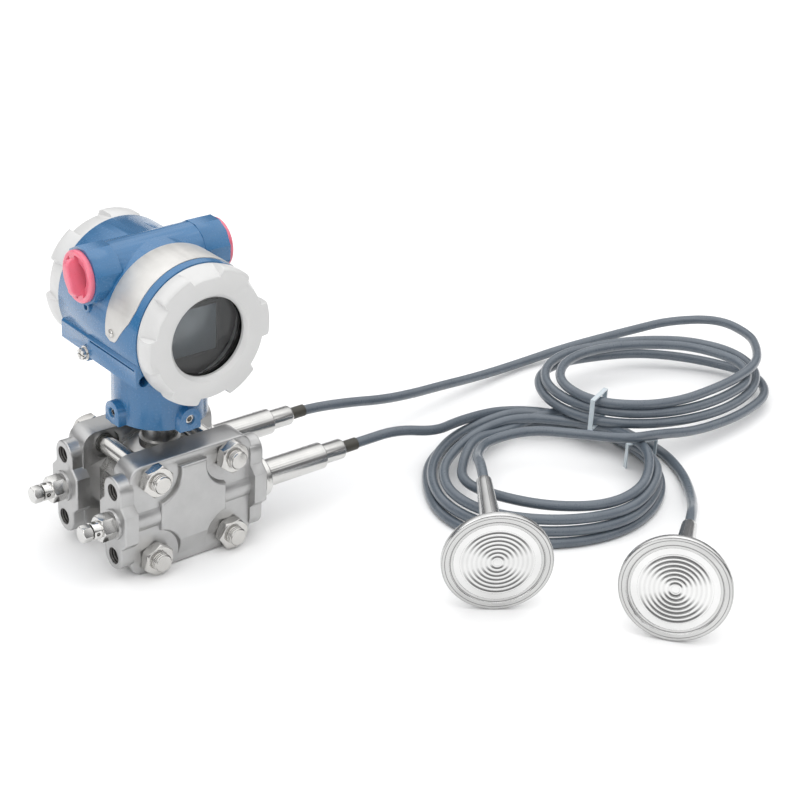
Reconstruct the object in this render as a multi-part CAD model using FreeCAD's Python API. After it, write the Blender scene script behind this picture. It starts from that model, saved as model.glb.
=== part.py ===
import FreeCAD, Part
import math
import os

# Differential pressure transmitter with two remote diaphragm seals.
# Frame: +Z up, front (display window) towards -Y, capillaries leave towards +X.
# Origin: on the standing plane, straight below the axis of the sensor neck.
# All lengths in millimetres.

V = FreeCAD.Vector
X, Y, Z = V(1, 0, 0), V(0, 1, 0), V(0, 0, 1)

# ---------------------------------------------------------------- dimensions
ZP = 35.6            # height of the process axis above the standing plane
ZH = ZP + 112.8      # height of the housing barrel axis
ZC = ZP + 138.2      # height of the cable entry axis
YC = 9.5             # cable entry axis, Y

MOD_Y = 16.5         # half width of the sensor module
MOD_PROFILE = [(30, 11), (16.8, 24.3), (7.5, 29)]
NECK_R = 13.0        # sensor neck
NECK_TOP = ZP + 74.0

FL_X = 41.5          # process flange: half length between the end blocks
FL_Z = 35.2          # half height
FL_Y0, FL_Y1 = 16.5, 33.5
PAD_Y = 36.5
END_X = 49.0
BOLT_X, BOLT_Z = 25.95, 25.55
BOLT_R, HOLE_R = 5.55, 5.9
NUT_AF = 17.46
PORT_Y = 27.0        # axis of vent and capillary ports
TAP_Z, TAP_R, TAP_DEPTH = 20.65, 5.0, 14.0

BAR_R = 40.3         # housing barrel
BAR_Y0, BAR_Y1 = -38.9, 41.8
BORE_R = 34.9
PART_Y0, PART_Y1 = -3.5, 2.0
HN_R, HN_Z0 = 27.7, ZP + 48.1
SKIRT_R = 34.6
GAP = 0.3

COVER_R = 39.5
WINDOW_R = 23.5

SEAL_R = 32.0
SEAL_LEN = 87.0
SEAL1_C, SEAL1_AZ, SEAL1_EL = (107.5, -178.7, 32.05), -126.2, -2.7
SEAL2_C, SEAL2_AZ, SEAL2_EL = (169.7, -256.4, 32.35), -142.3, 4.9

CORD_D = 6.4

os.makedirs("parts", exist_ok=True)


# ------------------------------------------------------------------- helpers
def cyl(p, d, r, h):
    return Part.makeCylinder(r, h, V(*p), d)


def tube(p, d, ro, ri, h):
    return cyl(p, d, ro, h).cut(cyl((V(*p) - d * 1.0), d, ri, h + 2.0))


def cone(p, d, r1, r2, h):
    return Part.makeCone(r1, r2, h, V(*p), d)


def box(x0, x1, y0, y1, z0, z1):
    return Part.makeBox(x1 - x0, y1 - y0, z1 - z0, V(x0, y0, z0))


def poly(points):
    pts = [V(*p) for p in points]
    return Part.Face(Part.makePolygon(pts + [pts[0]]))


def prism_y(xz, y0, y1):
    return poly([(x, y0, z) for x, z in xz]).extrude(V(0, y1 - y0, 0))


def prism_x(yz, x0, x1):
    return poly([(x0, y, z) for y, z in yz]).extrude(V(x1 - x0, 0, 0))


def prism_z(xy, z0, z1):
    return poly([(x, y, z0) for x, y in xy]).extrude(V(0, 0, z1 - z0))


def fuse(first, *rest):
    out = first
    for s in rest:
        out = out.fuse(s)
    return out.removeSplitter()


def cut(first, *rest):
    out = first
    for s in rest:
        out = out.cut(s)
    return out


def ngon(n, radius, phase):
    return [(radius * math.cos(math.radians(phase + 360.0 * i / n)),
             radius * math.sin(math.radians(phase + 360.0 * i / n))) for i in range(n)]


def hex_y(x, z, y0, y1, af, turn, chamfer_ends=1.2):
    """Hexagon prism along Y with turned corners on both ends."""
    rc = af / 2.0 / math.cos(math.radians(30))
    body = prism_y([(x + a, z + b) for a, b in ngon(6, rc, turn)], y0, y1)
    if chamfer_ends:
        c = chamfer_ends
        r_in = rc - c * 1.2
        keep = fuse(cone((x, y0, z), Y, r_in, rc + 0.02, c),
                    cyl((x, y0 + c, z), Y, rc + 0.02, (y1 - y0) - 2 * c),
                    cone((x, y1 - c, z), Y, rc + 0.02, r_in, c))
        body = body.common(keep)
    return body


def hex_x(y, z, x0, x1, af, turn, c=0.8):
    rc = af / 2.0 / math.cos(math.radians(30))
    body = prism_x([(y + a, z + b) for a, b in ngon(6, rc, turn)], x0, x1)
    keep = fuse(cone((x0, y, z), X, rc - c, rc + 0.02, c),
                cyl((x0 + c, y, z), X, rc + 0.02, (x1 - x0) - 2 * c),
                cone((x1 - c, y, z), X, rc + 0.02, rc - c, c))
    return body.common(keep)


def mirror_y(s):
    return s.mirror(V(0, 0, 0), Y)


def mirror_x(s):
    return s.mirror(V(0, 0, 0), X)


def revolve(profile, centre, axis, start_dir):
    """Revolve an (r, s) outline: r along start_dir, s along axis."""
    pts = [V(*centre) + start_dir * r + axis * s for r, s in profile]
    f = Part.Face(Part.makePolygon(pts + [pts[0]]))
    return f.revolve(V(*centre), axis, 360)


def torus_y(y, z, rc, r):
    return Part.makeTorus(rc, r, V(0, y, z), Y)


def fillet_try(s, pick, r):
    edges = [e for e in s.Edges if pick(e)]
    if not edges:
        return s
    try:
        out = s.makeFillet(r, edges)
        if out.isValid() and out.Volume > 0:
            return out
    except Exception:
        pass
    return s


def save(name, s):
    if isinstance(s, (list, tuple)):
        s = Part.makeCompound(list(s))
    n = len(s.Solids)
    assert n >= 1 and s.isValid(), name
    if s.ShapeType == "Compound" and n == 1:
        s = s.Solids[0]
    s.exportStep("parts/%s.step" % name)
    b = s.BoundBox
    print("%-28s solids %2d  vol %9.0f  x %.1f..%.1f y %.1f..%.1f z %.1f..%.1f" % (
        name, n, s.Volume, b.XMin, b.XMax, b.YMin, b.YMax, b.ZMin, b.ZMax))
    return s


# ------------------------------------------------------------- sensor module
def octo(grow=0.0):
    pts = [(x + grow * (0.9 if i == 0 else 0.65 if i == 1 else 0.4),
            z + grow * (0.4 if i == 0 else 0.65 if i == 1 else 0.95))
           for i, (x, z) in enumerate(MOD_PROFILE)]
    q = pts + [(-x, z) for x, z in reversed(pts)]
    return [(x, ZP + z) for x, z in q] + [(x, ZP - z) for x, z in reversed(q)]


module = prism_y(octo(), -MOD_Y, MOD_Y)
module = fuse(module,
              prism_y(octo(1.0), -MOD_Y, -MOD_Y + 3.4),
              prism_y(octo(1.0), MOD_Y - 3.4, MOD_Y),
              cyl((0, 0, ZP + 20), Z, 12.2, 11.2),
              cyl((0, 0, ZP + 20), Z, 10.6, 30.0),
              cyl((0, 0, ZP + 48.6), Z, NECK_R, NECK_TOP - ZP - 48.6))
module = cut(module,
             cyl((0, 0, ZP + 16), Z, 9.6, 9.6),
             cyl((0, 0, ZP + 16), Z, 7.6, 60),
             cyl((0, -MOD_Y - 0.1, ZP), Y, 20.6, 0.9),
             cyl((0, MOD_Y - 0.8, ZP), Y, 20.6, 0.9),
             cyl((0, -MOD_Y, ZP), Y, 0.9, 2 * MOD_Y),
             cyl((0, 0, ZP), Z, 0.9, 17),
             tube((0, 0, ZP + 60), Z, NECK_R + 1, 11.5, 2.0))
save("sensor_module", module)

for side, name in ((-1, "front"), (1, "rear")):
    rings = []
    y_out = side * MOD_Y
    prof = [(0.0, 0.1), (20.5, 0.1), (20.5, 0.6)]
    for i in range(4, -1, -1):
        r = 4.0 + 3.4 * i
        prof += [(r + 1.2, 0.6), (r + 0.5, 0.75), (r - 0.5, 0.75), (r - 1.2, 0.6)]
    prof += [(0.0, 0.6)]
    d = revolve(prof, (0, y_out, ZP), V(0, -side, 0), X)
    save("isolating_diaphragm_%s" % name, d)

save("sensor_cell", fuse(cyl((0, 0, ZP + 16), Z, 9.3, 9),
                         cyl((0, 0, ZP + 25), Z, 7.2, 5)))
save("sensor_cable", fuse(cyl((0, 0, ZP + 30), Z, 2.2, 49)))
save("neck_seal_ring", Part.makeTorus(12.35, 0.8, V(0, 0, ZP + 61.0), Z))


# ------------------------------------------------------------ process flange
def build_flange():
    s = box(-FL_X, FL_X, -FL_Y1, -FL_Y0, ZP - FL_Z, ZP + FL_Z)
    s = fillet_try(s, lambda e: abs(e.BoundBox.YLength - (FL_Y1 - FL_Y0)) < 0.01, 9.0)
    s = fillet_try(s, lambda e: e.BoundBox.YMax < -FL_Y1 + 0.01, 1.2)
    pad = box(-22.3, 22.3, -PAD_Y, -FL_Y1 + 0.5, ZP - 29.5, ZP + 28.8)
    for sx in (-1, 1):
        for sz in (-1, 1):
            pad = pad.cut(cone((sx * BOLT_X, -FL_Y1 + 0.51, ZP + sz * BOLT_Z),
                               V(0, -1, 0), 16.2, 17.8, PAD_Y - FL_Y1 + 0.52))
    # the lower tongue runs out into the plate
    pad = pad.cut(prism_x([(-PAD_Y - 0.01, ZP - 18.0), (-FL_Y1, ZP - 29.5), (-FL_Y1, ZP - 45),
                           (-PAD_Y - 8, ZP - 45), (-PAD_Y - 8, ZP - 18.0)], -40, 40))
    pad = fillet_try(pad, lambda e: e.BoundBox.ZMin > ZP + 28.7 and e.BoundBox.XLength < 1.0 and e.BoundBox.YLength > 2.5, 3.6)
    pad = fillet_try(pad, lambda e: e.BoundBox.YMax < -PAD_Y + 0.01, 1.4)
    rib = cyl((-FL_X - 1, -25.5, ZP), X, 10.0, 2 * FL_X + 2)
    rib = rib.cut(box(-60, 60, -FL_Y0, 0, ZP - 40, ZP + 40))
    parts = [pad, rib]
    for sx in (-1, 1):
        x0, x1 = (FL_X - 1.5, END_X) if sx > 0 else (-END_X, -FL_X + 1.5)
        ear = fuse(cyl((x0, -26.3, ZP + TAP_Z), X, 8.8, x1 - x0),
                   cyl((x0, -26.3, ZP - TAP_Z), X, 8.8, x1 - x0),
                   box(x0, x1, -35.1, -17.5, ZP - TAP_Z, ZP + TAP_Z))
        mid = prism_x([(-12.5, ZP + 9.5), (-18, ZP + 15), (-34, ZP + 15), (-40, ZP + 9),
                       (-40, ZP - 9), (-34, ZP - 15), (-18, ZP - 15), (-12.5, ZP - 9.5)], x0, x1)
        end = fuse(ear, mid)
        xo = x1 if sx > 0 else x0
        end = fillet_try(end, lambda e: abs(e.BoundBox.XMin - xo) < 0.01 and abs(e.BoundBox.XMax - xo) < 0.01, 1.2)
        parts.append(end)
    parts.append(cyl((-END_X - 1.5, -PORT_Y, ZP), X, 9.2, 4))
    s = fuse(s, *parts)
    cuts = []
    for sx in (-1, 1):
        for sz in (-1, 1):
            cuts.append(cyl((sx * BOLT_X, -60, ZP + sz * BOLT_Z), Y, HOLE_R, 60))
            cuts.append(cyl((sx * BOLT_X, -FL_Y0 - 2.4, ZP + sz * BOLT_Z), Y, 8.6, 10))
            xs = END_X - TAP_DEPTH if sx > 0 else -END_X - 1
            cuts.append(cyl((xs, -PORT_Y, ZP + sz * TAP_Z), X, TAP_R, TAP_DEPTH + 1))
    cuts += [
        cyl((-END_X - 3, -PORT_Y, ZP), X, 6.5, 14.5),
        cyl((END_X - 12, -PORT_Y, ZP), X, 6.5, 14),
        cyl((-40, -PORT_Y, ZP), X, 2.2, 80),
        cyl((0, -PORT_Y, ZP), Y, 2.2, 20),
        cyl((0, -FL_Y0 - 2.6, ZP), Y, 19.0, 3),
        tube((0, -FL_Y0 - 1.6, ZP), Y, 24.2, 21.0, 3),
    ]
    return cut(s, *cuts)


flange = build_flange()
save("process_flange_front", flange)
save("process_flange_rear", mirror_y(flange))
ring = cut(tube((0, -FL_Y0 - 1.6, ZP), Y, 24.2, 21.0, 1.6))
save("flange_seal_front", ring)
save("flange_seal_rear", mirror_y(ring))

turns_front = {(-1, 1): 15, (-1, -1): 26, (1, 1): 22, (1, -1): 4}
turns_rear = {(-1, 1): 9, (-1, -1): 27, (1, 1): 40, (1, -1): 28}
bolts, nuts, washers = [], [], []
for (sx, sz), t in turns_front.items():
    x, z = sx * BOLT_X, ZP + sz * BOLT_Z
    shank = cyl((x, -43.4, z), Y, BOLT_R, 43.4 + FL_Y1)
    tip = cone((x, -44.2, z), Y, BOLT_R - 0.8, BOLT_R, 0.8)
    tr = turns_rear[(sx, sz)]
    head = hex_y(x, z, FL_Y1, FL_Y1 + 6.8, NUT_AF, tr)
    bolts.append(fuse(shank, tip, head))
    nuts.append(hex_y(x, z, -40.0, -FL_Y1, NUT_AF, t).cut(cyl((x, -60, z), Y, BOLT_R, 40)))
save("flange_bolts", bolts)
save("flange_nuts", nuts)

# ---------------------------------------------------------------- vent valves
def vent_body(sy):
    y = sy * PORT_Y
    b = fuse(cyl((-50.5, y, ZP), X, 6.5, 12.5),
             hex_x(y, ZP, -59.0, -50.5, 14.0, 0),
             cyl((-63.8, y, ZP), X, 5.2, 8))
    b = cut(b, cyl((-65, y, ZP), X, 3.0, 25),
            cyl((-41, y, ZP), X, 1.5, 5),
            cyl((-61.5, y, ZP - 6), Z, 1.2, 12),
            cyl((-61.5, y - 6, ZP), Y, 1.2, 12))
    return b


for sy, name in ((-1, "front"), (1, "rear")):
    y = sy * PORT_Y
    save("vent_valve_body_%s" % name, vent_body(sy))
    save("vent_ball_%s" % name, Part.makeSphere(2.4, V(-42.1, y, ZP)))
    stem = fuse(cyl((-64.6, y, ZP), X, 2.65, 19.9),
                hex_x(y, ZP, -70.1, -64.2, 9.0, 0))
    save("vent_stem_%s" % name, stem)

# ---------------------------------------------------------- capillary adaptors
for sy, name in ((-1, "front"), (1, "rear")):
    y = sy * PORT_Y
    a = revolve([(1.2, -12), (6.5, -12), (6.5, 0), (11.7, 0), (12.5, 0.8), (12.5, 4.2), (11.7, 5.0),
                 (8.2, 5.0), (8.2, 48.4), (7.6, 49.0), (6.25, 49.0), (6.25, 63.6), (5.5, 65.0), (1.2, 65.0)],
                (END_X, y, ZP), X, Z)
    save("capillary_adaptor_%s" % name, a)
    save("capillary_sleeve_%s" % name, tube((END_X + 65.0, y, ZP), X, 3.8, 3.25, 11.0))

# -------------------------------------------------------------------- housing
def build_housing():
    s = cyl((0, BAR_Y0, ZH), Y, BAR_R, BAR_Y1 - BAR_Y0)
    s = fuse(s, cyl((0, 0, HN_Z0), Z, HN_R, 38.0))
    ridge = cyl((-30, YC, ZC), X, 16.0, 60)
    s = fuse(s, ridge)
    for sx in (-1, 1):
        x0 = 27.8 if sx > 0 else -44.0
        pts = [(YC + a, ZC + b) for a, b in ngon(12, 16.8, 15)]
        boss = prism_x(pts, x0, x0 + 16.2)
        xo = x0 + 16.2 if sx > 0 else x0
        s = fuse(s, boss)
    # lock screw lugs on the lower neck
    for d, c in ((V(-1, 0, 0), (0, 0)), (V(0, -1, 0), (0, 0))):
        z = ZP + 54.6
        lug = cyl((d.x * 20, d.y * 20, z), d, 6.9, 12.0)
        down = V(0, 0, -1)
        if abs(d.x) > 0:
            blk = box(-32, -20, -6.9, 6.9, HN_Z0, z)
        else:
            blk = box(-6.9, 6.9, -32, -20, HN_Z0, z)
        s = fuse(s, lug, blk)
    # side rail, low on the left
    rail = prism_y([(-40.0, ZP + 87.5), (-40.0, ZP + 99.0), (-38.6, ZP + 100.5), (-25, ZP + 100.5), (-25, ZP + 87.5)],
                   BAR_Y0, 12.0)
    rail2 = prism_y([(-37.2, ZP + 86.3), (-39.0, ZP + 88.2), (-39.0, ZP + 98.2), (-37.6, ZP + 100.0),
                     (-25, ZP + 100.0), (-25, ZP + 86.3)], 12.0, BAR_Y1 - 0.6)
    s = fuse(s, rail, rail2)
    # earth screw boss under the rail step
    s = fuse(s, cyl((-39.6, 14.0, ZP + 88.6), X, 4.8, 14))
    # small anchor boss under the left entry
    s = fuse(s, cyl((-41.2, 10.4, ZP + 118.4), X, 3.6, 6))
    cuts = [
        cyl((0, BAR_Y0 - 1, ZH), Y, BORE_R, PART_Y0 - BAR_Y0 + 1),
        cyl((0, PART_Y1, ZH), Y, BORE_R, BAR_Y1 - PART_Y1 + 1),
        cone((0, BAR_Y0 - 0.01, ZH), Y, 38.1, BORE_R, 3.2),
        cone((0, BAR_Y1 + 0.01, ZH), V(0, -1, 0), 38.1, BORE_R, 3.2),
        cyl((0, 0, ZP + 40), Z, 13.3, 40.5),
        cyl((-45, YC, ZC), X, 9.3, 25),
        cyl((20, YC, ZC), X, 9.3, 25),
        cyl((-41, 0, ZP + 54.6), X, 3.0, 30),
        cyl((0, -41, ZP + 54.6), Y, 3.0, 30),
        cyl((-35.0, BAR_Y0 - 1, ZP + 91.0), Y, 3.2, 14),
        box(-41, -38.9, -37.0, 9.0, ZP + 97.3, ZP + 98.3),
        cyl((-42, 10.4, ZP + 118.4), X, 1.7, 4),
        cyl((-44, 14.0, ZP + 88.6), X, 2.0, 14),
    ]
    return cut(s, *cuts)


housing = build_housing()
save("electronics_housing", housing)

locks = []
for d in (V(-1, 0, 0), V(0, -1, 0)):
    z = ZP + 54.6
    sc = cyl((d.x * 13.65, d.y * 13.65, z), d, 3.0, 17.2)
    hx = []
    if abs(d.x) > 0:
        hx = prism_x([(a, z + b) for a, b in ngon(6, 1.75, 0)], -31.5, -27.5)
    else:
        hx = prism_y([(a, z + b) for a, b in ngon(6, 1.75, 0)], -31.5, -27.5)
    locks.append(sc.cut(hx))
save("swivel_lock_screws", locks)

# earth screw with its washer
gs = fuse(cyl((-43.0, 14.0, ZP + 88.6), X, 2.0, 12.4),
          cyl((-43.4, 14.0, ZP + 88.6), X, 3.4, 3.0))
gs = cut(gs, box(-44, -42.4, 13.6, 14.4, ZP + 84, ZP + 93), box(-44, -42.4, 10, 18, ZP + 88.2, ZP + 89.0))
save("earth_screw", gs)
save("earth_washer", tube((-40.4, 14.0, ZP + 88.6), X, 4.3, 2.0, 0.8).cut(housing))

# name plate, wrapped on the barrel, with its two screws
plate = tube((0, -33.5, ZH), Y, BAR_R + 0.5, BAR_R, 24.5)
outline = prism_x([(-9, ZP + 160), (-33.5, ZP + 160), (-33.5, ZP + 131), (-31, ZP + 124), (-20.0, ZP + 109.5),
                   (-17.5, ZP + 107.5), (-13, ZP + 106.8), (-9, ZP + 109)], -60, 60)
plate = plate.common(outline)
for sx in (-1, 1):
    xs = -50 if sx < 0 else 36
    plate = plate.cut(cyl((xs, -15.0, ZP + 112.2), X, 1.2, 14))
save("nameplate", plate)
pins = []
for sx in (-1, 1):
    d = V(sx, 0, 0)
    head = fuse(cyl((sx * (BAR_R + 0.5), -15.0, ZP + 112.2), d, 2.3, 0.5),
                cone((sx * (BAR_R + 1.0), -15.0, ZP + 112.2), d, 2.3, 1.2, 0.8))
    head = head.cut(box(-60, 60, -15.3, -14.7, ZP + 108, ZP + 116).common(
        box(BAR_R + 1.2, 60, -20, -10, ZP, ZP + 150) if sx > 0 else box(-60, -BAR_R - 1.2, -20, -10, ZP, ZP + 150)))
    pins.append(head)
save("nameplate_screws", pins)


# --------------------------------------------------------------------- covers
def lobes_y(phase, y0, y1, r_foot, half_top, half_base):
    out = []
    for i in range(6):
        a = phase + 60.0 * i
        pts = []
        for r, h in ((22.0, half_base), (r_foot, half_base), (r_foot + 6.0, half_top), (r_foot + 12.0, half_top - 2.0),
                     (r_foot + 12.0, 2.0 - half_top), (r_foot + 6.0, -half_top), (r_foot, -half_base), (22.0, -half_base)):
            t = math.radians(a + h)
            pts.append((r * math.cos(t), ZH + r * math.sin(t)))
        out.append(prism_y(pts, y0, y1))
    return out


def cover_outside(phase, face, r_lobe, r_notch):
    """Cup y = -39.2 .. -39.2 - face round (0, ZH): six broad lands with notches that deepen towards the face."""
    y0 = BAR_Y0 - GAP
    base = [(0, 0), (COVER_R, 0), (COVER_R + 0.2, 0.3), (COVER_R + 0.2, 1.6), (r_notch + 0.6, face - 1.0),
            (r_notch - 0.3, face), (0, face)]
    lobe = [(0, 0), (COVER_R, 0), (COVER_R + 0.2, 0.3), (COVER_R + 0.2, 1.6), (r_lobe + 0.5, 4.0), (r_lobe + 0.5, face - 4.0),
            (r_lobe + 0.2, face - 1.7), (r_lobe - 0.3, face - 0.7), (r_lobe - 1.3, face), (0, face)]
    b = revolve(base, (0, y0, ZH), V(0, -1, 0), X)
    l = revolve(lobe, (0, y0, ZH), V(0, -1, 0), X)
    wedge = Part.makeCompound(lobes_y(phase, y0 - face - 1, y0 + 1, r_notch, 13.0, 16.2))
    l = l.common(wedge)
    return fuse(b, *l.Solids)


front = cover_outside(4.0, 12.3, 40.2, 35.6)
front = fuse(front, cyl((0, BAR_Y0 - GAP, ZH), Y, SKIRT_R, 11.7))
front = cut(front,
            cyl((0, -38.5, ZH), Y, 32.0, 12),
            cyl((0, -47.2, ZH), Y, 28.5, 9),
            cyl((0, -60, ZH), Y, WINDOW_R, 20),
            cone((0, -51.51, ZH), Y, 25.6, WINDOW_R, 2.3))
save("front_cover", front)

# the rear cover is the same casting without a window
rear = cover_outside(20.0, 15.4, 40.2, 36.6)
rear = fuse(rear, cyl((0, BAR_Y0 - GAP, ZH), Y, SKIRT_R, 11.7))
rear = cut(rear, cyl((0, -51.0, ZH), Y, 32.0, 25))
rear = mirror_y(rear)
rear.translate(V(0, BAR_Y1 + BAR_Y0, 0))
save("rear_cover", rear)

save("glass_gasket", tube((0, -47.2, ZH), Y, 28.4, 24.2, 0.6))
save("window_glass", cyl((0, -46.6, ZH), Y, 28.3, 6.4))
gr = tube((0, -40.2, ZH), Y, 28.4, 24.6, 1.7)
gr = cut(gr, box(-2, 2, -40, -38, ZH + 20, ZH + 30), box(-2, 2, -40, -38, ZH - 30, ZH - 20))
save("glass_retaining_ring", gr)
save("front_cover_seal", torus_y(-37.85, ZH, 35.6, 0.9))
save("rear_cover_seal", torus_y(BAR_Y1 - 1.05, ZH, 35.6, 0.9))

# ------------------------------------------------------- electronics, display
bez = cyl((0, -26.6, ZH), Y, 33.0, 2.4)
bez = fuse(bez, box(-22.5, 20.0, -28.4, -26.6, ZH - 20.5, ZH + 11.8))
bez = bez.cut(box(-20.5, 18.0, -29, -25.2, ZH - 18.5, ZH + 9.5))
save("display_bezel", bez)
save("lcd_glass", box(-20.5, 18.0, -28.0, -25.2, ZH - 18.5, ZH + 9.5))
dbd = cut(cyl((0, -24.2, ZH), Y, 32.2, 1.6))
save("display_board", dbd)
mod = cut(cyl((0, -20.0, ZH), Y, 31.0, 9.0),
          box(-12, 12, -21, -16, ZH + 18, ZH + 32))
save("electronics_module", mod)
st = []
for a in (50, 130, 230, 310):
    x, z = 26.5 * math.cos(math.radians(a)), ZH + 26.5 * math.sin(math.radians(a))
    st.append(cyl((x, -22.6, z), Y, 1.9, 2.6))
    st.append(cyl((x, -11.0, z), Y, 2.6, 7.5))
save("board_standoffs", st)

tb = cut(box(-24, 24, PART_Y1, PART_Y1 + 12, ZH - 14, ZH + 6),
         box(-20.5, -9.5, PART_Y1 + 5, PART_Y1 + 13, ZH - 15, ZH + 1),
         box(-5.5, 5.5, PART_Y1 + 5, PART_Y1 + 13, ZH - 15, ZH + 1),
         box(9.5, 20.5, PART_Y1 + 5, PART_Y1 + 13, ZH - 15, ZH + 1))
save("terminal_block", tb)
ts = []
for x in (-15, 0, 15):
    scr = fuse(box(x - 4, x + 4, PART_Y1 + 5, PART_Y1 + 6, ZH - 11, ZH - 2),
               cyl((x, PART_Y1 + 6, ZH - 6.5), Y, 3.0, 2.6))
    scr = scr.cut(box(x - 4, x + 4, PART_Y1 + 7.6, PART_Y1 + 10, ZH - 6.9, ZH - 6.1))
    ts.append(scr)
save("terminal_screws", ts)

# -------------------------------------------------------------- entry plugs
def plug():
    s = fuse(cyl((-44.3, YC, ZC), X, 9.0, 14.0),
             cyl((-47.3, YC, ZC), X, 15.0, 3.0))
    s = fillet_try(s, lambda e: abs(e.BoundBox.XMin + 47.3) < 0.01 and abs(e.BoundBox.XMax + 47.3) < 0.01, 1.1)
    room = box(-60, -32, YC - 2.7, YC + 2.7, ZC - 14, ZC + 14)
    s = s.cut(cyl((-47.5, YC, ZC), X, 12.4, 2.1).cut(room))
    s = s.cut(cyl((-46, YC, ZC), X, 7.6, 12.0).cut(room))
    grip = prism_x([(YC - 2.7, ZC - 10.4), (YC + 2.7, ZC - 10.4), (YC + 2.7, ZC + 10.4), (YC - 2.7, ZC + 10.4)], -53.0, -44.6)
    grip = fillet_try(grip, lambda e: e.BoundBox.YLength > 5.0 and e.BoundBox.XMax < -52.9, 4.0)
    grip = fillet_try(grip, lambda e: e.BoundBox.XMin < -44.7, 1.2)
    s = fuse(s, grip)
    s.rotate(V(0, YC, ZC), X, -22.0)
    return s


pl = plug()
save("entry_plug_left", pl)
save("entry_plug_right", mirror_x(pl))

# ------------------------------------------------------------- remote seals
def unit(az, el):
    a, e = math.radians(az), math.radians(el)
    return V(math.cos(a) * math.cos(e), math.sin(a) * math.cos(e), math.sin(e))


def seal(c, az, el, name):
    n = unit(az, el)
    back = n * -1.0
    side = n.cross(Z)
    side.normalize()
    body = [(0, 1.2), (24.9, 1.2), (24.9, 0.6), (27.2, 0.6), (27.2, 0.0), (31.2, 0.0), (32.0, 0.7), (32.0, 3.6),
            (30.6, 5.2), (20.5, 9.6), (17.5, 10.4), (9.0, 11.6), (7.6, 13.0), (7.0, 15.0), (7.0, 22.0),
            (4.7, SEAL_LEN - 0.6), (4.2, SEAL_LEN), (0, SEAL_LEN)]
    save("remote_seal_body_%s" % name, revolve(body, c, back, side))
    prof = [(0.0, 1.2), (24.9, 1.2), (24.9, 0.7), (22.6, 0.7)]
    for i in range(7, 0, -1):
        r = 1.2 + 2.65 * i
        prof += [(r + 0.85, 0.7), (r, 0.25), (r - 0.85, 0.7)]
    prof += [(0.0, 0.7)]
    clean = []
    for q in prof:
        if not clean or (abs(q[0] - clean[-1][0]) > 1e-6 or abs(q[1] - clean[-1][1]) > 1e-6):
            clean.append(q)
    save("remote_seal_diaphragm_%s" % name, revolve(clean, c, back, side))
    return V(*c) + back * SEAL_LEN


tip1 = seal(SEAL1_C, SEAL1_AZ, SEAL1_EL, "high")
tip2 = seal(SEAL2_C, SEAL2_AZ, SEAL2_EL, "low")
print("tips", tip1, tip2)


# ------------------------------------------------------ capillaries (armoured)
# Route points of the stretches that are not coiled; each stretch is made of
# straight runs joined by tangent arcs.
REAR_LEAD = [
    (114.0, 27.0, 35.6), (129.4, 27.0, 35.6), (159.9, 25.5, 31.9), (190.0, 26.5, 25.0),
    (219.9, 30.8, 19.4), (249.7, 37.0, 14.3), (279.7, 41.9, 9.4), (310.0, 46.1, 5.9),
    (340.8, 48.2, 4.7), (371.4, 45.1, 7.3), (401.1, 37.7, 10.7), (430.8, 30.2, 13.6),
    (457.5, 21.8, 17.0), (481.4, -3.9, 22.3), (475.8, -38.5, 24.8),
]
REAR_TAIL = [
    (314.1, -106.8, 21.5), (282.4, -107.1, 27.2), (261.6, -83.1, 26.6), (242.2, -59.4, 25.1),
    (209.6, -54.0, 24.0), (183.5, -73.5, 30.2), (170.4, -92.8, 37.1), (158.8, -108.6, 36.1),
]
FRONT_LEAD = [
    (114.0, -27.0, 35.6), (129.5, -27.0, 35.6), (160.1, -24.5, 33.8), (190.0, -27.0, 24.8),
    (219.1, -15.3, 18.4), (247.0, -7.8, 12.5), (268.0, -4.0, 7.5), (289.0, -9.5, 4.2),
    (305.0, -25.5, 3.2),
]
FRONT_TAIL = [
    (305.0, -43.7, 15.7), (321.3, -69.1, 4.1), (325.0, -100.7, 3.2), (313.5, -129.7, 3.4),
    (294.4, -154.1, 7.0), (273.0, -175.3, 13.8), (252.4, -192.5, 23.4), (238.3, -203.4, 24.9),
]


def cord(points, d, name):
    p = [V(*q) for q in points]
    n = len(p)
    edges, radii, length = [], [], 0.0
    here = p[0]
    for i in range(1, n - 1):
        a, b = p[i - 1] - p[i], p[i + 1] - p[i]
        la, lb = a.Length, b.Length
        a.normalize()
        b.normalize()
        turn = math.pi - a.getAngle(b)
        t = 0.45 * min(la, lb)
        r = t / math.tan(turn / 2.0)
        radii.append(r)
        q0, q1 = p[i] + a * t, p[i] + b * t
        bis = a + b
        bis.normalize()
        centre = p[i] + bis * (r / math.cos(turn / 2.0))
        mid = centre - bis * r
        edges.append(Part.makeLine(here, q0))
        edges.append(Part.Arc(q0, mid, q1).toShape())
        length += (q0 - here).Length + r * turn
        here = q1
    edges.append(Part.makeLine(here, p[-1]))
    length += (p[-1] - here).Length
    path = Part.Wire(edges)
    t0 = p[1] - p[0]
    t0.normalize()
    prof = Part.Wire([Part.makeCircle(d / 2.0, p[0], t0)])
    s = path.makePipeShell([prof], True, True)
    vol = math.pi * d * d / 4.0 * length
    print("%s length %.0f, radii min %.0f max %.0f (%.1f diameters), volume ratio %.4f" % (
        name, length, min(radii), max(radii), min(radii) / d, s.Volume / vol))
    save(name, s)
    return s


def coil_outline(centre, rows):
    pts = [V(centre[0] + r * math.cos(math.radians(t)), centre[1] + r * math.sin(math.radians(t)), 0)
           for t, r in rows]
    c = Part.BSplineCurve()
    c.interpolate(Points=pts, PeriodicFlag=True)
    return Part.Face(Part.Wire([c.toShape()]))


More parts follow.
